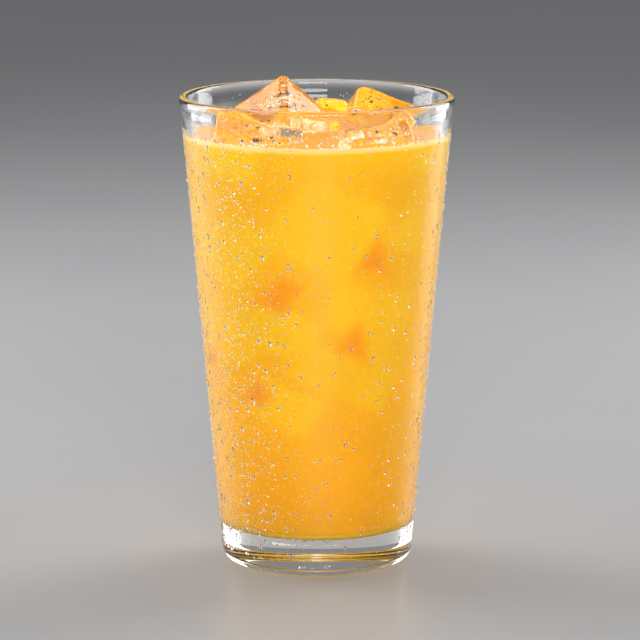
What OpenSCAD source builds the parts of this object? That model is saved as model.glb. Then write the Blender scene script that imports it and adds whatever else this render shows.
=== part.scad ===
// A glass of iced orange juice: a heavy-based tapered tumbler, the juice in it,
// and the five ice cubes that break the surface. Millimetres, +Z up, with the
// origin at the centre of the foot, on the plane that the glass stands on.

/* [Glass] */
// Height of the tumbler, foot to lip
glass_height = 150; // [110:1:200]
// Outside width where the line of the wall meets the table
foot_d = 60.4; // [52:0.1:76]
// Outside width where the line of the wall meets the lip's height
mouth_d = 86.7; // [85:0.1:110]
// Wall thickness at the foot
wall_foot = 3; // [2:0.1:4]
// Wall thickness at the mouth
wall_mouth = 2.4; // [1.8:0.1:2.9]
// Thickness of the solid glass under the juice
base_t = 12.5; // [6:0.1:20]
// Radius that rounds the heel
heel_r = 4; // [2:0.1:6]
// Radius that rounds the inside corner at the floor
corner_r = 3; // [1:0.1:6]

/* [Lip] */
// How far the lip's bead stands proud of the wall
bead_proud = 0.35; // [0.1:0.05:1]
// Height over which the bead fades into the wall
bead_h = 4.6; // [3:0.1:8]

/* [Foot] */
// Depth of the hollow under the base
punt_depth = 1; // [0.4:0.1:2]
// Width of the flat ring that the glass stands on
ring_w = 2; // [1:0.1:4]

/* [Juice] */
// Juice level below the lip
headspace = 12.7; // [8:0.1:40]
// Radius of the curve where the juice climbs the wall
meniscus_r = 2.2; // [1:0.1:3]

/* [Ice] */
// Edge of the largest ice cube
ice_edge = 25; // [18:0.5:25.5]
// Radius of the melted edges and corners
ice_r = 3; // [1.5:0.1:4]

/* [Hidden] */

// Each ice cube: centre as shares of the inside radius at the juice level, its
// height above that level, its turn, and its edge as a share of ice_edge.
peak = [[-0.289, 0.239], -1.7, [42, 33, -88], 1];
second = [[0.453, 0.264], -1.3, [49, 21, 7], 0.84];
small = [[0.113, 0.755], -0.1, [0, 45, 60], 0.52];
left = [[-0.458, -0.486], -1.3, [6, 4, 50], 0.84];
right = [[0.478, -0.377], -1.8, [4, -14, 14], 0.8];

foot_r = foot_d / 2;
mouth_r = mouth_d / 2;
level = glass_height - headspace;

// The two lines of the wall, as radius at a height
slope_out = (mouth_r - foot_r) / glass_height;
in_foot_r = foot_r - wall_foot;
slope_in = (mouth_r - wall_mouth - in_foot_r) / glass_height;
function r_out(z) = foot_r + slope_out * z;
function r_in(z) = in_foot_r + slope_in * z;
level_r = r_in(level);

// Heel: a circle that touches the table and the wall
lean_out = sqrt(1 + slope_out * slope_out);
heel_x = r_out(heel_r) - heel_r * lean_out;
heel_touch = [heel_x + heel_r / lean_out, heel_r - heel_r * slope_out / lean_out];

// Inside corner: a circle that touches the floor and the wall
lean_in = sqrt(1 + slope_in * slope_in);
corner_z = base_t + corner_r;
corner_x = r_in(corner_z) - corner_r * lean_in;
corner_touch = [corner_x + corner_r / lean_in, corner_z - corner_r * slope_in / lean_in];

// Lip: a round as thick as the wall and its bead, and the arc under it
lip_r = (wall_mouth + bead_proud) / 2;
lip_z = glass_height - lip_r;
lip_x = r_in(lip_z) + lip_r;
bead_r = bead_h * bead_h / (2 * (lip_x + lip_r - r_out(lip_z) + slope_out * bead_h));

// Hollow under the base: a shallow ball cap inside the standing ring
punt_r = heel_x - ring_w;
punt_ball = (punt_r * punt_r + punt_depth * punt_depth) / (2 * punt_depth);

// Meniscus: how much of its radius lies between its centre and the wall
climb = 0.8;
meniscus_z = level + meniscus_r;
meniscus_x = r_in(level) - climb * meniscus_r;

// Half of the profile of the space inside the glass, up to a height
module inside(top) {
    polygon([
        [0, base_t],
        [corner_x, base_t],
        corner_touch,
        [r_in(top), top],
        [0, top],
    ]);
    translate([corner_x, corner_z]) circle(r = corner_r, $fn = 96);
}

module bead() {
    intersection() {
        translate([lip_x + lip_r - bead_r, lip_z]) circle(r = bead_r, $fn = 360);
        polygon([
            [lip_x, lip_z - bead_h],
            [mouth_r + 2, lip_z - bead_h],
            [mouth_r + 2, lip_z],
            [lip_x, lip_z],
        ]);
    }
}

module glass() {
    color([0.86, 0.92, 0.94, 0.45])
    rotate_extrude($fn = 128)
    difference() {
        union() {
            polygon([
                [0, 0],
                [heel_x, 0],
                heel_touch,
                [r_out(lip_z), lip_z],
                [0, lip_z],
            ]);
            translate([heel_x, heel_r]) circle(r = heel_r, $fn = 96);
            translate([lip_x, lip_z]) circle(r = lip_r, $fn = 96);
            bead();
        }
        inside(glass_height);
        translate([0, punt_depth - punt_ball]) circle(r = punt_ball, $fn = 720);
    }
}

// One melted cube, placed by its row above
module ice(pose) {
    edge = ice_edge * pose[3];
    reach = edge / 2 - min(ice_r, edge / 4);
    translate([pose[0][0] * level_r, pose[0][1] * level_r, level + pose[1]])
    rotate(pose[2])
    hull() {
        for (x = [-1, 1], y = [-1, 1], z = [-1, 1])
            translate([x * reach, y * reach, z * reach])
            sphere(r = min(ice_r, edge / 4), $fn = 24);
    }
}

module juice() {
    color([1, 0.72, 0.1])
    difference() {
        rotate_extrude($fn = 128)
        difference() {
            inside(meniscus_z);
            polygon([
                [0, level],
                [meniscus_x, level],
                [meniscus_x, meniscus_z + 1],
                [0, meniscus_z + 1],
            ]);
            translate([meniscus_x, meniscus_z]) circle(r = meniscus_r, $fn = 96);
        }
        ice(peak);
        ice(second);
        ice(small);
        ice(left);
        ice(right);
    }
}

module ice_peak() {
    color([0.95, 0.97, 1]) ice(peak);
}

module ice_second() {
    color([0.9, 0.95, 1]) ice(second);
}

module ice_small() {
    color([0.85, 0.93, 1]) ice(small);
}

module ice_left() {
    color([0.92, 0.96, 1]) ice(left);
}

module ice_right() {
    color([0.88, 0.94, 1]) ice(right);
}

glass();
juice();
ice_peak();
ice_second();
ice_small();
ice_left();
ice_right();
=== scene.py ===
# A glass of iced orange juice, drawn piece by piece in the order it is poured:
# the tumbler, the ice, the juice round the ice, its foam, and the dew outside.
import math
import random

import bmesh
import bpy
import numpy as np
from mathutils import Euler, Matrix, Vector, noise
from mathutils.bvhtree import BVHTree


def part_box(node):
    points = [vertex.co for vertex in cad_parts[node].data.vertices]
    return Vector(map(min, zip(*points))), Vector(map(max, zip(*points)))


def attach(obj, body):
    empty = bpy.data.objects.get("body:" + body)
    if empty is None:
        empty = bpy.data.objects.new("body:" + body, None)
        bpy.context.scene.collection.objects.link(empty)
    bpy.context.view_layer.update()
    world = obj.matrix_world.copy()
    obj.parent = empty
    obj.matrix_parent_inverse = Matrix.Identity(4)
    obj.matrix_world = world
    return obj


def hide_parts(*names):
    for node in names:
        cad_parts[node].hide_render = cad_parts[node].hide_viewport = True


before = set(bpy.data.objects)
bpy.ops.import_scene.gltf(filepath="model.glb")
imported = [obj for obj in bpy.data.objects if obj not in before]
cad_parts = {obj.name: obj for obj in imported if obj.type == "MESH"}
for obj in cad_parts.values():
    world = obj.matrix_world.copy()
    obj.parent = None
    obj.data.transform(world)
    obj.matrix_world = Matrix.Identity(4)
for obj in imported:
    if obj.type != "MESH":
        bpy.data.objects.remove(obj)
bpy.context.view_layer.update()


# ---------------------------------------------------------------- the view
# A long lens a metre in front of the glass and a little above its mouth, so the
# far lip shows over the near one. Colours are shown as they are mixed.
scene = bpy.context.scene
scene.view_settings.view_transform = "Standard"
scene.view_settings.look = "None"

lens_data = bpy.data.cameras.new("camera")
lens_data.lens = 194.4
lens_data.sensor_width = 36.0
camera = bpy.data.objects.new("camera", lens_data)
scene.collection.objects.link(camera)
camera.location = (0.001, -1.0853, 0.2846)
camera.rotation_euler = (math.radians(90.0 - 10.8), 0.0, 0.0)
scene.camera = camera


# ------------------------------------------------------- the floor and light
# A plain pale table top in a pale room, with a tall soft lamp behind each side
# of the glass, a weak one overhead and the strongest high up in front.
def shader(name):
    """A new material with its node tree and its principled shader."""
    material = bpy.data.materials.new(name)
    material.use_nodes = True
    tree = material.node_tree
    return material, tree, tree.nodes["Principled BSDF"]


def add(tree, kind, **values):
    """A node in the tree, with its inputs or properties set by name."""
    node = tree.nodes.new(kind)
    for key, value in values.items():
        if key in node.inputs:
            node.inputs[key].default_value = value
        else:
            setattr(node, key, value)
    return node


def cloud(tree, **values):
    """The value of a noise that stays put on the piece as the view turns."""
    place = add(tree, "ShaderNodeTexCoord")
    grain = add(tree, "ShaderNodeTexNoise", **values)
    tree.links.new(place.outputs["Object"], grain.inputs["Vector"])
    return grain.outputs["Fac"]


def keep(mesh_maker, name, smooth=True):
    """A bmesh made into an object at the origin, shaded smooth unless told not."""
    mesh = bpy.data.meshes.new(name)
    mesh_maker.to_mesh(mesh)
    mesh_maker.free()
    if smooth:
        mesh.shade_smooth()
    piece = bpy.data.objects.new(name, mesh)
    scene.collection.objects.link(piece)
    return piece


FLOOR_HALF = 3.0
floor_maker = bmesh.new()
bmesh.ops.create_grid(floor_maker, x_segments=1, y_segments=1, size=FLOOR_HALF)
floor = keep(floor_maker, "floor", smooth=False)
material, tree, surface = shader("pale_table")
tint = add(tree, "ShaderNodeMixRGB")
tint.inputs["Color1"].default_value = (0.44, 0.44, 0.45, 1.0)
tint.inputs["Color2"].default_value = (0.48, 0.48, 0.48, 1.0)
tree.links.new(cloud(tree, Scale=6.0, Detail=2.0), tint.inputs["Fac"])
tree.links.new(tint.outputs["Color"], surface.inputs["Base Color"])
surface.inputs["Roughness"].default_value = 0.45
floor.data.materials.append(material)

world = bpy.data.worlds.new("room")
world.use_nodes = True
room_light = world.node_tree.nodes["Background"]
room_light.inputs["Color"].default_value = (0.62, 0.63, 0.65, 1.0)
room_light.inputs["Strength"].default_value = 0.36
scene.world = world


def soft_lamp(name, spot, aim_height, width, height, power):
    """A soft white lamp at a spot, turned to face a height on the glass's axis."""
    data = bpy.data.lights.new(name, "AREA")
    data.shape = "RECTANGLE"
    data.size = width
    data.size_y = height
    data.energy = power
    lamp = bpy.data.objects.new(name, data)
    scene.collection.objects.link(lamp)
    lamp.location = spot
    facing = Vector((0.0, 0.0, aim_height)) - Vector(spot)
    lamp.rotation_euler = facing.to_track_quat("-Z", "Y").to_euler()


soft_lamp("lamp_left", (-0.71, 0.38, 0.36), 0.10, 0.50, 0.90, 5.8)
soft_lamp("lamp_right", (0.63, 0.49, 0.34), 0.10, 0.40, 0.80, 4.6)
soft_lamp("lamp_top", (0.0, 0.30, 0.85), 0.10, 0.60, 0.40, 1.8)
soft_lamp("lamp_front", (0.10, -1.45, 0.66), 0.07, 0.70, 0.45, 12.0)


# ------------------------------------------------------------- the tumbler
# A pressed bar tumbler of clear glass: a thick solid base with a shallow hollow
# under it, a wall that thins towards the mouth, and a small bead at the lip.
MM = 0.001
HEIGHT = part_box("glass")[1][2]
FOOT_R, MOUTH_R = 30.2 * MM, 43.35 * MM
WALL_FOOT, WALL_MOUTH = 3.0 * MM, 2.4 * MM
BASE = 12.5 * MM
HEEL_R, CORNER_R = 4.0 * MM, 3.0 * MM
BEAD_OUT, BEAD_H = 0.35 * MM, 4.6 * MM
PUNT, RING_W = 1.0 * MM, 2.0 * MM
ROUND_STEPS = 192


def outside_r(z):
    """Radius of the glass's outer face at a height."""
    return FOOT_R + (MOUTH_R - FOOT_R) * z / HEIGHT


def inside_r(z):
    """Radius of the glass's inner face at a height."""
    foot = FOOT_R - WALL_FOOT
    return foot + (MOUTH_R - WALL_MOUTH - foot) * z / HEIGHT


def outline(corners, rounding):
    """A bmesh of one line through corners (r, z), each rounded by (reach, steps)."""
    maker = bmesh.new()
    points = [maker.verts.new((r, 0.0, z)) for r, z in corners]
    for a, b in zip(points, points[1:]):
        maker.edges.new((a, b))
    for point, (offset, steps) in zip(points, rounding):
        if offset:
            bmesh.ops.bevel(
                maker, geom=[point], offset=offset, offset_type="OFFSET",
                segments=steps, profile=0.5, affect="VERTICES", material=-1,
            )
    return maker


def turn(maker, steps=ROUND_STEPS):
    """Spins an outline round the axis of the glass into a closed shell."""
    bmesh.ops.spin(
        maker, geom=maker.verts[:] + maker.edges[:], cent=(0, 0, 0), axis=(0, 0, 1),
        dvec=(0, 0, 0), angle=2.0 * math.pi, steps=steps, use_merge=True,
    )
    bmesh.ops.remove_doubles(maker, verts=maker.verts, dist=0.002 * MM)
    bmesh.ops.recalc_face_normals(maker, faces=maker.faces)


# A corner is rounded a little short of its full radius, so that the bevels of
# neighbouring corners never meet.
SHORT = 0.94
lip_r = (WALL_MOUTH + BEAD_OUT) / 2.0
lip_z = HEIGHT - lip_r
lip_out = inside_r(lip_z) + 2.0 * lip_r
heel_in = outside_r(HEEL_R) - HEEL_R
glass_maker = outline(
    [
        (0.0, PUNT),
        (heel_in - RING_W, 0.0),
        (outside_r(0.0), 0.0),
        (outside_r(lip_z - BEAD_H), lip_z - BEAD_H),
        (lip_out, lip_z - 0.4 * BEAD_H),
        (lip_out, HEIGHT),
        (inside_r(HEIGHT), HEIGHT),
        (inside_r(BASE), BASE),
        (0.0, BASE),
    ],
    [
        (0, 0), (0.4 * MM, 2), (HEEL_R * SHORT, 8), (0.8 * MM, 3), (1.2 * MM, 4),
        (lip_r * 0.98, 8), (lip_r * 0.98, 8), (CORNER_R * SHORT, 8), (0, 0),
    ],
)
turn(glass_maker)
tumbler = keep(glass_maker, "tumbler")


def remap(tree, value, low, high, new_low, new_high):
    """A node's value moved from one span to another."""
    span = add(tree, "ShaderNodeMapRange")
    span.inputs["From Min"].default_value = low
    span.inputs["From Max"].default_value = high
    span.inputs["To Min"].default_value = new_low
    span.inputs["To Max"].default_value = new_high
    tree.links.new(value, span.inputs["Value"])
    return span.outputs["Result"]


material, tree, surface = shader("clear_glass")
surface.inputs["Base Color"].default_value = (0.98, 0.99, 0.99, 1.0)
surface.inputs["Transmission Weight"].default_value = 1.0
surface.inputs["IOR"].default_value = 1.5
haze = remap(tree, cloud(tree, Scale=90.0, Detail=3.0), 0.45, 0.75, 0.0, 0.04)
tree.links.new(haze, surface.inputs["Roughness"])


def let_lamps_through(tree, surface, tint):
    """Light from lamps passes the clear piece straight, so what is in it is lit."""
    ray = add(tree, "ShaderNodeLightPath")
    clear = add(tree, "ShaderNodeBsdfTransparent", Color=tint)
    either = add(tree, "ShaderNodeMixShader")
    tree.links.new(ray.outputs["Is Shadow Ray"], either.inputs["Fac"])
    tree.links.new(surface.outputs["BSDF"], either.inputs[1])
    tree.links.new(clear.outputs["BSDF"], either.inputs[2])
    tree.links.new(either.outputs["Shader"], tree.nodes["Material Output"].inputs["Surface"])


let_lamps_through(tree, surface, (0.97, 0.98, 0.98, 1.0))
tumbler.data.materials.append(material)
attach(tumbler, "root")
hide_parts("glass")


# ------------------------------------------------- the ice above the juice
# Five cubes of clear ice, wet and rounded by melting. Each is its moulded cube,
# merged, cut finer and worn a little uneven, with the same place and turn.
ICE = ["ice_peak", "ice_second", "ice_small", "ice_left", "ice_right"]


def cad_copy(node):
    """A bmesh of a CAD node's closed skin."""
    maker = bmesh.new()
    maker.from_mesh(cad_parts[node].data)
    bmesh.ops.remove_doubles(maker, verts=maker.verts, dist=0.01 * MM)
    bmesh.ops.recalc_face_normals(maker, faces=maker.faces)
    return maker


ice_stuff, tree, surface = shader("wet_clear_ice")
surface.inputs["Base Color"].default_value = (0.99, 0.935, 0.80, 1.0)
surface.inputs["Transmission Weight"].default_value = 1.0
surface.inputs["IOR"].default_value = 1.31
surface.inputs["Roughness"].default_value = 0.02
relief = add(tree, "ShaderNodeBump", Strength=0.35, Distance=0.6 * MM)
tree.links.new(cloud(tree, Scale=260.0, Detail=4.0), relief.inputs["Height"])
tree.links.new(relief.outputs["Normal"], surface.inputs["Normal"])
veins = cloud(tree, Scale=130.0, Detail=5.0, Roughness=0.7, Distortion=1.4)
milk = remap(tree, veins, 0.54, 0.68, 1.0, 0.88)
tree.links.new(milk, surface.inputs["Transmission Weight"])
let_lamps_through(tree, surface, (0.98, 0.98, 0.98, 1.0))

LONGEST_EDGE = 1.6 * MM
WEAR_MM = 0.55
ice_skins = {}
for node in ICE:
    maker = cad_copy(node)
    bmesh.ops.dissolve_limit(
        maker, angle_limit=math.radians(0.5), verts=maker.verts, edges=maker.edges,
    )
    bmesh.ops.triangulate(maker, faces=maker.faces)
    for _ in range(3):
        long_edges = [e for e in maker.edges if e.calc_length() > LONGEST_EDGE]
        bmesh.ops.subdivide_edges(maker, edges=long_edges, cuts=1)
        bmesh.ops.triangulate(maker, faces=maker.faces)
    maker.normal_update()
    for v in maker.verts:
        worn = 0.5 + 0.5 * noise.noise(v.co * 110.0) + 0.25 * noise.noise(v.co * 300.0)
        v.co -= v.normal * WEAR_MM * MM * worn
    ice_skins[node] = maker.copy()
    cube = keep(maker, node + "_clear")
    cube.data.materials.append(ice_stuff)
    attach(cube, "root")
    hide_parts(node)


# ------------------------------------------------- air caught inside the ice
# Tap water freezes with a cloud of small air bubbles about its heart, some of
# them drawn out long. Each is a closed bead of air inside its cube.
def repeated(name, shape, places):
    """One object made of a small shape repeated at many 4 by 4 places."""
    shape.verts.ensure_lookup_table()
    corners = np.array([v.co[:] + (1.0,) for v in shape.verts])
    faces = np.array([[v.index for v in f.verts] for f in shape.faces])
    many = np.einsum("nij,vj->nvi", np.array(places), corners)[:, :, :3]
    count = len(places)
    shift = (np.arange(count) * len(corners))[:, None, None]
    loops = (faces[None] + shift).reshape(-1)
    mesh = bpy.data.meshes.new(name)
    mesh.vertices.add(count * len(corners))
    mesh.vertices.foreach_set("co", many.reshape(-1))
    mesh.loops.add(len(loops))
    mesh.loops.foreach_set("vertex_index", loops)
    mesh.polygons.add(count * len(faces))
    mesh.polygons.foreach_set("loop_start", np.arange(0, len(loops), 3))
    mesh.update(calc_edges=True)
    mesh.validate()
    mesh.shade_smooth()
    shape.free()
    piece = bpy.data.objects.new(name, mesh)
    scene.collection.objects.link(piece)
    return piece


def small_bead():
    """A unit ball of a few dozen triangles."""
    maker = bmesh.new()
    bmesh.ops.create_uvsphere(maker, u_segments=8, v_segments=5, radius=1.0)
    bmesh.ops.triangulate(maker, faces=maker.faces)
    bmesh.ops.recalc_face_normals(maker, faces=maker.faces)
    maker.verts.index_update()
    return maker


def spot(at, sizes, turn_by=(0.0, 0.0, 0.0)):
    """A 4 by 4 place from a point, three half sizes and a turn."""
    size = Matrix.Diagonal(Vector(tuple(sizes) + (1.0,)))
    return Matrix.Translation(at) @ Euler(turn_by).to_matrix().to_4x4() @ size


def cube_middle(node, offset):
    """A point in a cube, by its offset in mm from the middle of the cube."""
    low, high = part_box(node)
    return (Vector(low) + Vector(high)) / 2.0 + Vector(offset) * MM


# For each cube: how many beads, the offset of their heart from the cube's
# middle in mm, and how far they spread from it.
AIR = {
    "ice_peak": (330, (1.8, -5.5, 11.5), 3.0),
    "ice_second": (200, (1.0, -5.0, 8.0), 4.4),
    "ice_small": (30, (0.0, 0.0, 1.0), 2.4),
    "ice_left": (50, (2.0, 0.0, 3.0), 4.0),
    "ice_right": (40, (0.0, 0.0, 3.0), 3.6),
}
rng = random.Random(7)
air_places = []
for node in ICE:
    skin = BVHTree.FromBMesh(ice_skins[node])
    count, offset, spread_mm = AIR[node]
    heart = cube_middle(node, offset)
    for _ in range(count):
        wide = spread_mm * (1.0 if rng.random() < 0.7 else 2.0) * MM
        point = heart + Vector((rng.gauss(0, 1.6 * wide), rng.gauss(0, wide), rng.gauss(0, wide)))
        near, normal, _, gap = skin.find_nearest(point)
        half = (0.16 + 0.50 * rng.random() ** 2.0) * MM
        tilt = (rng.uniform(0, 6.3), rng.uniform(0, 6.3), rng.uniform(0, 6.3))
        stretch = rng.choice((1.0, 1.0, 1.0, 1.7, 2.6))
        if (near - point).dot(normal) > 0 and gap > half * 1.6:
            long_half = min(half * stretch, gap / 1.3)
            air_places.append(spot(point, (half, half * 0.85, long_half), tilt))
air = repeated("air_in_ice", small_bead(), air_places)


def patches(tree, surface, value, stops):
    """The surface's colour, taken from a value by (place, colour) stops."""
    blend = add(tree, "ShaderNodeValToRGB")
    for element, (at, colour) in zip(blend.color_ramp.elements, stops):
        element.position = at
        element.color = colour
    tree.links.new(value, blend.inputs["Fac"])
    tree.links.new(blend.outputs["Color"], surface.inputs["Base Color"])


# Painted shade: some beads are painted near black-brown for the dark look of air caught in ice; the
# others are near white.
material, tree, surface = shader("caught_air_painted_shade")
patches(
    tree, surface, cloud(tree, Scale=420.0, Detail=1.0),
    ((0.44, (0.14, 0.08, 0.03, 1.0)), (0.60, (0.95, 0.93, 0.88, 1.0))),
)
surface.inputs["Roughness"].default_value = 0.12
surface.inputs["IOR"].default_value = 1.25
air.data.materials.append(material)
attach(air, "root")


# --------------------------------------------------- the cracks in the ice
# Ice cracks as it warms in the juice: a few thin curved flaws inside the cubes
# that catch the light as white streaks.
FLAW_THICK = 0.10 * MM
flaws = bmesh.new()
for node, offset, turn_by, wide, tall in (
    # the cube, the flaw's offset in it in mm, its turn, and its width and height in mm
    ("ice_peak", (-5.5, -3.5, 9.5), (0.35, 0.72, 0.5), 11.0, 1.6),
    ("ice_peak", (-4.6, -3.6, 8.0), (0.5, 0.70, 0.4), 9.0, 1.2),
    ("ice_peak", (6.0, -2.0, 8.5), (0.3, -0.7, -0.4), 7.0, 1.4),
    ("ice_second", (-3.5, -4.0, 5.0), (0.4, 0.9, 0.3), 5.0, 1.6),
    ("ice_second", (4.5, -4.5, 2.0), (0.3, -0.5, -0.3), 6.0, 1.4),
    ("ice_left", (-1.0, -4.0, 1.5), (0.9, 0.1, 0.6), 8.0, 3.0),
    ("ice_right", (1.0, -3.0, 2.5), (0.8, -0.2, -0.4), 7.0, 2.4),
):
    place = Matrix.Translation(cube_middle(node, offset)) @ Euler(turn_by).to_matrix().to_4x4()
    size = Matrix.Diagonal(Vector((wide * MM / 2.0, tall * MM / 2.0, 1.0, 1.0)))
    sheet = bmesh.ops.create_grid(
        flaws, x_segments=14, y_segments=4, size=1.0, matrix=place @ size
    )
    across = place.to_3x3() @ Vector((0, 0, 1))
    for v in sheet["verts"]:
        local = place.inverted() @ v.co
        v.co += across * (noise.noise(v.co * 260.0) * 0.9 * MM - 30.0 * local.x ** 2)
bmesh.ops.solidify(flaws, geom=flaws.faces[:], thickness=FLAW_THICK)
bmesh.ops.recalc_face_normals(flaws, faces=flaws.faces)
cracks = keep(flaws, "ice_cracks")
material, tree, surface = shader("white_flaw")
ragged = remap(tree, cloud(tree, Scale=500.0, Detail=3.0), 0.42, 0.60, 1.0, 0.2)
tree.links.new(ragged, surface.inputs["Transmission Weight"])
surface.inputs["Base Color"].default_value = (1.0, 0.97, 0.90, 1.0)
surface.inputs["IOR"].default_value = 1.2
surface.inputs["Roughness"].default_value = 0.25
cracks.data.materials.append(material)
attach(cracks, "root")


# ------------------------------------------------------------ the sunk ice
# The glass is packed with ice before the juice goes in: rounded slabs that lie
# at all angles against the wall. The juice over each is thin, so it is painted
# pale there, partly as painted light.
UP_THE_WALL = 0.88 * MM
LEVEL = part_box("juice")[1][2] - UP_THE_WALL
SLAB_ROUND = 3.0 * MM
SLAB_GAP = 0.6 * MM
SLABS = [
    # degrees round from the front, height, turn, lean, yaw, width, depth, thickness,
    # and how much of its size is left after some has melted
    (5.4, 112.3, 58, 0, 0, 27, 27, 14, 0.75),
    (57, 110, 70, 0, 12, 18, 20, 14, 0.6),
    (31, 86, -8, -4, 4, 26, 15, 14, 0.55),
    (-45, 104, 50, 0, 0, 24, 20, 14, 0.75),
    (-22, 81, -32, 6, 0, 22, 15, 14, 0.65),
    (17, 65, -28, 5, 0, 28, 14, 14, 0.7),
    (47, 74, 60, 0, 10, 20, 20, 14, 0.55),
    (-58, 78, 20, 0, 0, 20, 24, 14, 0.65),
    (-20, 56, -28, 4, 0, 21, 14, 14, 0.95),
    (92, 114, 35, 0, 0, 24, 24, 14, 0.6),
    (92, 84, 60, 0, 0, 22, 22, 14, 0.8),
    (84, 56, 20, 0, 0, 20, 20, 14, 0.9),
    (135, 102, 15, 0, 0, 24, 22, 14, 0.75),
    (130, 70, 50, 0, 0, 22, 20, 14, 0.85),
    (180, 114, 55, 0, 0, 25, 24, 14, 0.75),
    (178, 85, 20, 0, 0, 22, 22, 14, 0.85),
    (170, 57, 65, 0, 0, 20, 20, 14, 0.9),
    (-135, 102, 30, 0, 0, 24, 22, 14, 0.8),
    (-138, 70, 70, 0, 0, 22, 20, 14, 0.75),
    (-92, 112, 60, 0, 0, 22, 22, 14, 0.8),
    (-100, 84, 15, 0, 0, 20, 22, 14, 0.7),
    (-92, 54, 40, 0, 0, 20, 20, 14, 0.95),
]


def slab_place(degrees, height, turn_by, lean, yaw, width, depth, thick):
    """The turn and centre that set a slab against the wall from inside."""
    facing = (
        Matrix.Rotation(math.radians(degrees), 3, "Z")
        @ Matrix.Rotation(math.radians(lean), 3, "X")
        @ Matrix.Rotation(math.radians(yaw), 3, "Z")
        @ Matrix.Rotation(math.radians(-turn_by), 3, "Y")
    )
    around = math.radians(degrees)
    outward = Vector((math.sin(around), -math.cos(around), 0.0))
    half = Vector((width, thick, depth)) * MM / 2.0 - Vector((1, 1, 1)) * SLAB_ROUND
    best = 1.0
    for sx in (-1, 1):
        for sy in (-1, 1):
            for sz in (-1, 1):
                corner = facing @ Vector((half.x * sx, half.y * sy, half.z * sz))
                limit = inside_r(height * MM + corner.z) - SLAB_GAP - SLAB_ROUND
                along = corner.x * outward.x + corner.y * outward.y
                across_sq = corner.x ** 2 + corner.y ** 2 - along ** 2
                best = min(best, math.sqrt(max(limit ** 2 - across_sq, 0.0)) - along)
    return facing, outward * best + Vector((0, 0, height * MM))


# The ice lies in a wider halo of thin, melted juice, which is what shows outside.
sunk, halo = bmesh.new(), bmesh.new()
for *pose, width, depth, thick, left in SLABS:
    facing, centre = slab_place(*pose, width, depth, thick)
    place = Matrix.Translation(centre) @ facing.to_4x4()
    for maker, share in ((sunk, left), (halo, 1.0)):
        size = Matrix.Diagonal(
            Vector((width * MM * share, thick * MM * share, depth * MM * share, 1.0))
        )
        block = bmesh.ops.create_cube(maker, size=1.0, matrix=place @ size)
        edges = {e for v in block["verts"] for e in v.link_edges}
        bmesh.ops.bevel(
            maker, geom=list(edges), offset=SLAB_ROUND * share, segments=4, profile=0.5,
            affect="EDGES", material=-1,
        )
halo_tree = BVHTree.FromBMesh(halo)
sunk_ice = keep(sunk, "sunk_ice")
sunk_ice.data.materials.append(ice_stuff)
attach(sunk_ice, "root")


# ---------------------------------------------------------------- the juice
# Strained orange juice, cloudy with fine pulp, poured to a finger under the
# lip. It wets the wall and the ice, so its top climbs a little at both, and it
# closes round the underside of each cube that floats in it.
INTO_WALL, INTO_BASE = 0.2 * MM, 0.15 * MM
CLIMB = 0.9 * MM
RING_GAP = 1.0 * MM
juice_maker = outline(
    [
        (0.0, BASE - INTO_BASE),
        (inside_r(BASE) + INTO_WALL, BASE - INTO_BASE),
        (inside_r(LEVEL) + INTO_WALL, LEVEL),
        (0.0, LEVEL),
    ],
    [(0, 0), (CORNER_R * SHORT, 6), (0, 0), (0, 0)],
)
for edge in sorted(juice_maker.edges[:], key=lambda e: -e.calc_length()):
    cuts = int(edge.calc_length() / RING_GAP)
    if cuts > 4:
        bmesh.ops.subdivide_edges(juice_maker, edges=[edge], cuts=cuts)
turn(juice_maker, steps=256)

CORE_INSET_MM = 0.12
cutter = bmesh.new()
for node in ICE:
    core = ice_skins[node]
    core.normal_update()
    for v in core.verts:
        v.co -= v.normal * CORE_INSET_MM * MM
    scrap = bpy.data.meshes.new("core")
    core.to_mesh(scrap)
    cutter.from_mesh(scrap)
    bpy.data.meshes.remove(scrap)
ice_tree = BVHTree.FromBMesh(cutter)


def climbed(from_wall, from_ice):
    """How far the juice has climbed, from 0 to 1, near the wall and the ice."""
    at_wall = math.exp(-from_wall / (0.9 * MM))
    at_ice = 0.8 * math.exp(-from_ice / (0.8 * MM))
    return min(at_wall + at_ice, 1.0)


for v in juice_maker.verts:
    if v.co.z > LEVEL - 0.01 * MM:
        r = math.hypot(v.co.x, v.co.y)
        from_wall = max(inside_r(LEVEL) + INTO_WALL - r, 0.0)
        near, normal, _, from_ice = ice_tree.find_nearest(v.co)
        if (near - v.co).dot(normal) > 0:
            from_ice = 0.0
        lift = climbed(from_wall, from_ice)
        swell = 0.12 * MM * noise.noise(v.co * 90.0)
        v.co.z += CLIMB * lift + swell * (1.0 - lift)
        if from_wall < 0.05 * MM:
            v.co.xy *= (inside_r(v.co.z) + INTO_WALL) / r

# The carve is steadier on a shape of ordinary size, so it is done in millimetres.
for maker in (juice_maker, cutter):
    bmesh.ops.scale(maker, vec=(1 / MM, 1 / MM, 1 / MM), verts=maker.verts)
whole = keep(juice_maker, "juice_whole")
cores = keep(cutter, "ice_cores")
carve = whole.modifiers.new("carve", "BOOLEAN")
carve.operation = "DIFFERENCE"
carve.solver = "FAST"
carve.object = cores
carved = bpy.data.meshes.new_from_object(
    whole.evaluated_get(bpy.context.evaluated_depsgraph_get())
)
bpy.data.objects.remove(whole)
bpy.data.objects.remove(cores)
juice_maker = bmesh.new()
juice_maker.from_mesh(carved)
bmesh.ops.scale(juice_maker, vec=(MM, MM, MM), verts=juice_maker.verts)
bmesh.ops.remove_doubles(juice_maker, verts=juice_maker.verts, dist=0.002 * MM)
bmesh.ops.recalc_face_normals(juice_maker, faces=juice_maker.faces)
juice = keep(juice_maker, "juice_body")
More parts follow.
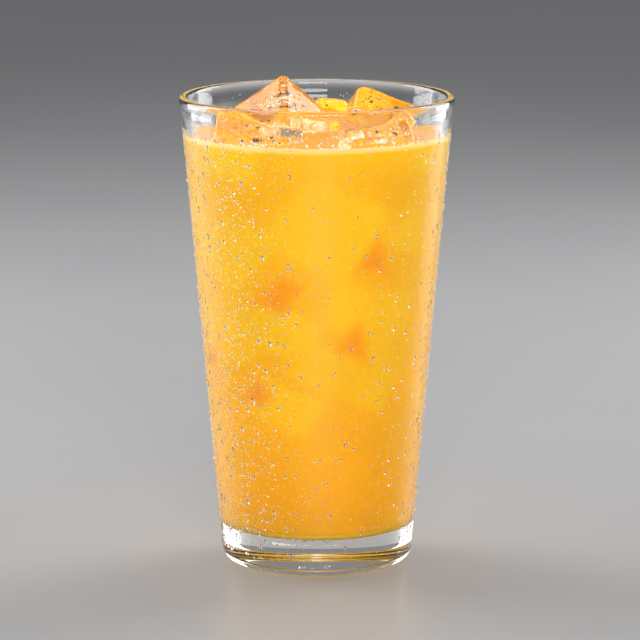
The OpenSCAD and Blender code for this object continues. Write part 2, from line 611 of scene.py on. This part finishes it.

# How pale the juice is painted over the ice, on a net of points round the wall:
# from each point a sheaf of rays looks inward, and ice that lies near counts
# most. Thin juice over ice shows pale, and up-facing ice faces add a painted
# light from above.
AROUND, UP = 180, 72
RAYS, SPREAD = 21, 0.28
REACH, FADE = 50.0 * MM, 6.0 * MM
WET_HEIGHT = LEVEL + CLIMB - BASE
GOLDEN = math.pi * (3.0 - math.sqrt(5.0))
sheaf = []
for k in range(RAYS):
    aside = SPREAD * math.sqrt((k + 0.5) / RAYS)
    sheaf.append((aside * math.cos(k * GOLDEN), aside * math.sin(k * GOLDEN)))
ice_pale_and_lit = np.zeros((UP, AROUND))
for i in range(UP):
    z = BASE + WET_HEIGHT * i / (UP - 1)
    for j in range(AROUND):
        angle = 2.0 * math.pi * j / AROUND
        inward = Vector((-math.cos(angle), -math.sin(angle), 0.0))
        side = Vector((-math.sin(angle), math.cos(angle), 0.0))
        start = Vector((math.cos(angle), math.sin(angle), 0.0)) * (inside_r(z) - 0.1 * MM)
        start.z = z
        total = 0.0
        for across, rise in sheaf:
            ray = (inward + side * across + Vector((0, 0, rise))).normalized()
            best = None
            for some_ice in (halo_tree, ice_tree):
                hit, normal, _, distance = some_ice.ray_cast(start, ray, REACH)
                if hit is not None and (best is None or distance < best[0]):
                    best = (distance, normal)
            if best:
                # An ice face that looks up counts more and one that looks down less: painted light
                # and shade from above.
                total += math.exp(-best[0] / FADE) * (1.0 + 0.4 * best[1].z)
        ice_pale_and_lit[i, j] = total / len(sheaf)

# Painted shade: between the slabs the light goes deeper and dies, so narrow gaps
# are painted dark.
SHADED_CLEFTS = [
    # corners of each wedge of painted shade: degrees round from the front, and mm up
    ((30, 110), (18, 100), (37, 98)),
    ((-36, 89), (-16, 98), (-6, 95), (-16, 86)),
    ((22, 84), (9, 75), (28, 69)),
    ((-32, 65), (-46, 57), (-33, 55), (-23, 60)),
    ((80, 100), (92, 92), (98, 101)),
    ((110, 66), (120, 75), (124, 62)),
    ((150, 92), (160, 84), (166, 95)),
    ((196, 74), (205, 64), (212, 76)),
    ((242, 96), (252, 88), (256, 99)),
    ((286, 70), (292, 61), (299, 72)),
]
# Wedges are measured along the wall in mm, at about its middle radius, and
# their edges fade from a little outside the outline to a little inside.
MM_PER_DEGREE = 0.63
FADE_OUTSIDE, FADE_WIDTH = 1.4, 3.4
up_mm = (BASE + WET_HEIGHT * np.arange(UP) / (UP - 1)) / MM
turn_deg = np.arange(AROUND) * 360.0 / AROUND
cleft_shade = np.zeros((UP, AROUND))
for corners in SHADED_CLEFTS:
    middle = sum(c[0] for c in corners) / len(corners)
    across = ((turn_deg[None] - 270.0 - middle + 180.0) % 360.0 - 180.0) * MM_PER_DEGREE
    flat = [((c[0] - middle) * MM_PER_DEGREE, c[1]) for c in corners]
    sides = list(zip(flat, flat[1:] + flat[:1]))
    hand = math.copysign(1.0, sum(a[0] * b[1] - b[0] * a[1] for a, b in sides))
    inside = np.full((UP, AROUND), 99.0)
    for a, b in sides:
        span = math.hypot(b[0] - a[0], b[1] - a[1])
        off = ((b[0] - a[0]) * (up_mm[:, None] - a[1]) - (b[1] - a[1]) * (across - a[0])) / span
        inside = np.minimum(inside, off * hand)
    cleft_shade = np.maximum(cleft_shade, np.clip((inside + FADE_OUTSIDE) / FADE_WIDTH, 0, 1))

# Each point of the juice takes its values from the nets, by its place.
spots = np.empty(len(juice.data.vertices) * 3)
juice.data.vertices.foreach_get("co", spots)
spots = spots.reshape(-1, 3)
radius = np.hypot(spots[:, 0], spots[:, 1])
inner = np.array([inside_r(z) for z in spots[:, 2]])
on_wall = radius > inner - 0.1 * MM
row = np.clip((spots[:, 2] - BASE) / WET_HEIGHT, 0, 1) * (UP - 1)
column = (np.arctan2(spots[:, 1], spots[:, 0]) / (2 * math.pi) % 1.0) * AROUND
r0 = np.minimum(row.astype(int), UP - 2)
c0 = column.astype(int) % AROUND
fr, fc = row - r0, column - column.astype(int)
c1 = (c0 + 1) % AROUND


def read(net):
    """The net's value at every point of the juice, blended between its knots."""
    return (
        net[r0, c0] * (1 - fr) * (1 - fc) + net[r0 + 1, c0] * fr * (1 - fc)
        + net[r0, c1] * (1 - fr) * fc + net[r0 + 1, c1] * fr * fc
    )


def linear(red, green, blue):
    """A colour given in screen values of 0 to 255, as the shader wants it."""
    return tuple(
        v / 12.92 if v <= 0.04045 else ((v + 0.055) / 1.055) ** 2.4
        for v in (red / 255.0, green / 255.0, blue / 255.0)
    ) + (1.0,)


def ramp(x, points):
    """A smooth run of colours over x, from (x, colour) pairs."""
    xs = [p[0] for p in points]
    return np.stack([np.interp(x, xs, [linear(*p[1])[k] for p in points]) for k in range(3)], -1)


def over(tone, colour, share):
    """A tone at every point with a share of one colour laid over it."""
    return tone * (1 - share[:, None]) + np.array(linear(*colour)[:3]) * share[:, None]


height_mm = spots[:, 2] / MM
# Both tones darken towards the foot of the glass, partly a painted shade under light that falls
# from above.
deep = ramp(height_mm, [
    (12, (238, 167, 0)), (22, (249, 174, 0)), (30, (254, 180, 0)), (43, (255, 184, 0)),
    (60, (255, 185, 0)), (81, (255, 188, 0)), (100, (255, 190, 0)), (138, (255, 191, 0)),
])
light = ramp(height_mm, [
    (12, (252, 188, 10)), (43, (255, 197, 6)), (60, (255, 198, 6)),
    (100, (255, 204, 12)), (138, (255, 205, 14)),
])
PALE_FROM, PALE_SPAN = 0.10, 0.60
share = np.clip((read(ice_pale_and_lit) - PALE_FROM) / PALE_SPAN, 0, 1)
# Away from the front the juice is painted paler, a painted light for the lamps
# that shine through it from the side.
SIDE_LIGHT_SHARE, SIDE_FROM_DEG, SIDE_SPAN_DEG = 0.75, 34.0, 36.0
round_deg = np.abs(np.degrees(np.arctan2(spots[:, 0], -spots[:, 1])))
aside = np.clip((round_deg - SIDE_FROM_DEG) / SIDE_SPAN_DEG, 0, 1)
share = np.maximum(share, SIDE_LIGHT_SHARE * aside)[:, None]
tone = deep * (1 - share) + light * share
# The wedges of painted shade darken the juice on the wall.
tone = over(tone, (254, 163, 0), read(cleft_shade) * on_wall)
# The open top is one tone, and the pockets under the cubes another.
in_pocket = ~on_wall & (height_mm < LEVEL / MM - 0.3)
tone[~on_wall] = linear(252, 166, 0)[:3]
tone[in_pocket] = linear(255, 204, 50)[:3]
# A fine pale line of foam shows through the glass at the juice's upper edge.
FOAM_STRENGTH, FOAM_HEIGHT = 0.85, 0.28 * MM
below_top = LEVEL + CLIMB - spots[:, 2]
foam_line = FOAM_STRENGTH * np.exp(-(below_top / FOAM_HEIGHT) ** 2) * on_wall
tone = over(tone, (255, 226, 160), foam_line)
# The juice's colour is stored in one attribute, with its painted light and shade.
paint = juice.data.color_attributes.new("juice_tone_and_light", "FLOAT_COLOR", "POINT")
paint.data.foreach_set("color", np.concatenate([tone, np.ones((len(tone), 1))], 1).reshape(-1))

material, tree, surface = shader("cloudy_juice")
painted = add(tree, "ShaderNodeAttribute", attribute_name="juice_tone_and_light")
pulp = cloud(tree, Scale=700.0, Detail=3.0)
swirl = cloud(tree, Scale=38.0, Detail=2.0)
mottle = add(tree, "ShaderNodeMath", operation="ADD")
tree.links.new(pulp, mottle.inputs[0])
tree.links.new(swirl, mottle.inputs[1])
strength = remap(tree, mottle.outputs["Value"], 0.7, 1.3, 0.94, 1.05)
shade = add(tree, "ShaderNodeVectorMath", operation="SCALE")
tree.links.new(painted.outputs["Color"], shade.inputs[0])
tree.links.new(strength, shade.inputs["Scale"])
tree.links.new(shade.outputs["Vector"], surface.inputs["Base Color"])
surface.inputs["Roughness"].default_value = 0.22
surface.inputs["IOR"].default_value = 1.33
surface.inputs["Specular IOR Level"].default_value = 0.08
juice.data.materials.append(material)
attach(juice, "root")
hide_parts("juice")


# ------------------------------------------------------ the foam and bubbles
# Pouring leaves a thin ring of froth where the juice meets the wall, more
# round the ice, and single bubbles that drift between. All are small beads.
rng = random.Random(21)
bubble_places = []


def juice_top(x, y):
    """Height of the juice at a point of its top."""
    r = math.hypot(x, y)
    _, _, _, from_ice = ice_tree.find_nearest(Vector((x, y, LEVEL)))
    from_wall = max(inside_r(LEVEL) - r, 0.0)
    return LEVEL + CLIMB * climbed(from_wall, from_ice)


RING_BUBBLES, ALL_BUBBLES, MOST_TRIES = 1150, 1900, 60000
for _ in range(RING_BUBBLES):
    angle = rng.uniform(0, 2 * math.pi)
    half = rng.uniform(0.14, 0.38) * MM
    clump = 0.5 + 0.5 * noise.noise(Vector((math.cos(angle) * 4, math.sin(angle) * 4, 3.0)))
    back = abs(rng.gauss(0, 0.2 + 0.5 * clump)) * MM
    r = inside_r(LEVEL + CLIMB) - half * 0.9 - back
    x, y = r * math.cos(angle), r * math.sin(angle)
    height = juice_top(x, y) + half * rng.uniform(-0.2, 0.7)
    bubble_places.append(spot((x, y, height), (half, half, half * 0.85)))
tries = 0
while len(bubble_places) < ALL_BUBBLES and tries < MOST_TRIES:
    tries += 1
    angle, r = rng.uniform(0, 2 * math.pi), inside_r(LEVEL) * math.sqrt(rng.random())
    x, y = r * math.cos(angle), r * math.sin(angle)
    point = Vector((x, y, LEVEL + 0.4 * MM))
    near, normal, _, gap = ice_tree.find_nearest(point)
    if (near - point).dot(normal) > 0:
        continue
    if gap < 1.2 * MM or rng.random() < 0.02:
        half = rng.uniform(0.12, 0.40) * MM
        bubble_places.append(spot((x, y, juice_top(x, y)), (half, half, half * 0.85)))
bubbles = repeated("froth_bubbles", small_bead(), bubble_places)
material, tree, surface = shader("froth")
patches(
    tree, surface, cloud(tree, Scale=320.0, Detail=1.0),
    ((0.40, linear(255, 216, 140)), (0.58, linear(255, 246, 220))),
)
surface.inputs["Roughness"].default_value = 0.1
surface.inputs["IOR"].default_value = 1.33
surface.inputs["Transmission Weight"].default_value = 0.25
bubbles.data.materials.append(material)
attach(bubbles, "root")


# -------------------------------------------------------------- the dew
# Cold juice beads the outside of the glass with water: a fine mist all over,
# small beads, and larger drops that are thickest on one side and begin to run.
def drop_shape(segments, rings, contact):
    """A unit drop: a low dome that meets the glass at an angle, on a sunk foot."""
    maker = bmesh.new()
    full = math.radians(contact)
    points = [maker.verts.new((0.0, 0.0, 1.0))]
    for k in range(1, rings + 1):
        part = full * k / rings
        rise = (math.cos(part) - math.cos(full)) / (1.0 - math.cos(full))
        points.append(maker.verts.new((math.sin(part) / math.sin(full), 0.0, rise)))
    points.append(maker.verts.new((0.0, 0.0, -0.08)))
    for a, b in zip(points, points[1:]):
        maker.edges.new((a, b))
    bmesh.ops.spin(
        maker, geom=maker.verts[:] + maker.edges[:], cent=(0, 0, 0), axis=(0, 0, 1),
        dvec=(0, 0, 0), angle=2.0 * math.pi, steps=segments, use_merge=True,
    )
    bmesh.ops.remove_doubles(maker, verts=maker.verts, dist=0.001)
    bmesh.ops.recalc_face_normals(maker, faces=maker.faces)
    bmesh.ops.triangulate(maker, faces=maker.faces)
    maker.verts.index_update()
    return maker


SLOPE = math.atan2(MOUTH_R - FOOT_R, HEIGHT)
CELL = 1.0 * MM
taken = {}


def room_for(along, up, half):
    """True, and the room is taken, if no earlier drop lies within reach."""
    home = (int(along // CELL), int(up // CELL))
    for i in range(home[0] - 2, home[0] + 3):
        for j in range(home[1] - 2, home[1] + 3):
            for a, b, other in taken.get((i, j), ()):
                if (a - along) ** 2 + (b - up) ** 2 < (half + other) ** 2:
                    return False
    taken.setdefault(home, []).append((along, up, half))
    return True


def wetness(angle, z):
    """How thick the dew stands, from 0 to 1, by side and by height."""
    side = max(0.0, math.cos(angle - math.radians(188))) ** 1.5
    back = max(0.0, math.sin(angle))
    right = max(0.0, math.cos(angle)) ** 6
    patch = noise.noise(Vector((math.cos(angle) * 2.2, math.sin(angle) * 2.2, z * 45)))
    above = 1.0 if z < LEVEL else max(0.0, 1.0 - (z - LEVEL) / (5.0 * MM)) * 0.7
    return (0.12 + 0.75 * side + 0.35 * back + 0.5 * right + 0.16 * patch) * above


def wall_place(angle, z, wide, tall, thick, inner=False):
    """A 4 by 4 place for a drop of three half sizes, domed away from its wall."""
    out = Vector((math.cos(angle), math.sin(angle), 0.0))
    side = Vector((-math.sin(angle), math.cos(angle), 0.0))
    face_r = outside_r(z)
    if inner:
        side.negate()
        face_r = inside_r(z)
    up = (Vector((0, 0, 1)) * math.cos(SLOPE) + out * math.sin(SLOPE)).normalized()
    turned = Matrix((side, up, side.cross(up))).transposed().to_4x4()
    size = Matrix.Diagonal(Vector((wide, tall, thick, 1.0)))
    return Matrix.Translation(out * face_r + Vector((0, 0, z))) @ turned @ size


# How far round the glass two drops lie is measured at about its middle radius.
DROP_ROUND_R, RUN_ROUND_R = 0.037, 0.038


def dew(seed, count, small, large, power, dome):
    """Places for drops of a kind, thrown at random and thinned by wetness."""
    throw = random.Random(seed)
    places = []
    for _ in range(count * 30):
        if len(places) == count:
            break
        angle = throw.uniform(0, 2 * math.pi)
        z = throw.uniform(HEEL_R * 1.3, HEIGHT - 8.0 * MM)
        wet = wetness(angle, z)
        half = (small + (large - small) * throw.random() ** power * min(1.0, 0.35 + wet)) * MM / 2.0
        if throw.random() > wet:
            continue
        if not room_for(angle * DROP_ROUND_R, z, half * 1.02):
            continue
        tall = half * throw.uniform(0.95, 1.25)
        places.append(wall_place(angle, z, half, tall, half * dome * throw.uniform(0.8, 1.1)))
    return places


def water(name, blur, clear):
    """Water; the smaller the drops, the more they blur and whiten what they show."""
    stuff, tree, surface = shader(name)
    surface.inputs["Base Color"].default_value = (1.0, 1.0, 1.0, 1.0)
    surface.inputs["Transmission Weight"].default_value = clear
    surface.inputs["IOR"].default_value = 1.33
    surface.inputs["Roughness"].default_value = blur
    let_lamps_through(tree, surface, (0.98, 0.98, 0.98, 1.0))
    return stuff


drop_water = water("drop_water", 0.08, 0.94)
bead_water = water("bead_water", 0.16, 0.84)
mist_water = water("mist_water", 0.30, 0.84)

throw = random.Random(5)
run_places = []
for low_z, high_z, count, least, most in (
    # the heights they start between, how many, and their least and most half length
    (20, 125, 10, 1.0, 2.2),
    (129, 140, 50, 0.8, 2.2),
):
    for _ in range(count):
        angle = math.radians(throw.choice((185, 185, 150, -8)) + throw.gauss(0, 16))
        z = throw.uniform(low_z, high_z) * MM
        half = throw.uniform(0.22, 0.45) * MM
        length = throw.uniform(least, most) * MM
        if room_for(angle % (2 * math.pi) * RUN_ROUND_R, z, length * 0.7):
            run_places.append(wall_place(angle, z, half, length, half * 0.45))
splash_places = []
for _ in range(1100):
    angle = throw.uniform(0, 2 * math.pi)
    z = LEVEL + 1.6 * MM + abs(throw.gauss(0, 4.0)) * MM
    if z > HEIGHT - 3.5 * MM:
        continue
    half = (0.08 + 0.34 * throw.random() ** 4) * MM
    splash_places.append(wall_place(angle, z, half, half, half * 0.6, inner=True))
for name, stuff, shape, places in (
    ("dew_runs", bead_water, drop_shape(10, 5, 55.0), run_places),
    ("dew_drops", drop_water, drop_shape(10, 4, 52.0), dew(11, 1500, 0.8, 1.9, 2.2, 0.48)),
    ("dew_beads", bead_water, drop_shape(8, 3, 52.0), dew(12, 4000, 0.35, 0.75, 1.5, 0.45)),
    ("splash_inside", bead_water, drop_shape(8, 3, 50.0), splash_places),
    ("dew_mist", mist_water, drop_shape(6, 2, 50.0), dew(13, 8200, 0.16, 0.36, 1.0, 0.45)),
):
    drops = repeated(name, shape, places)
    drops.data.materials.append(stuff)
    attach(drops, "root")
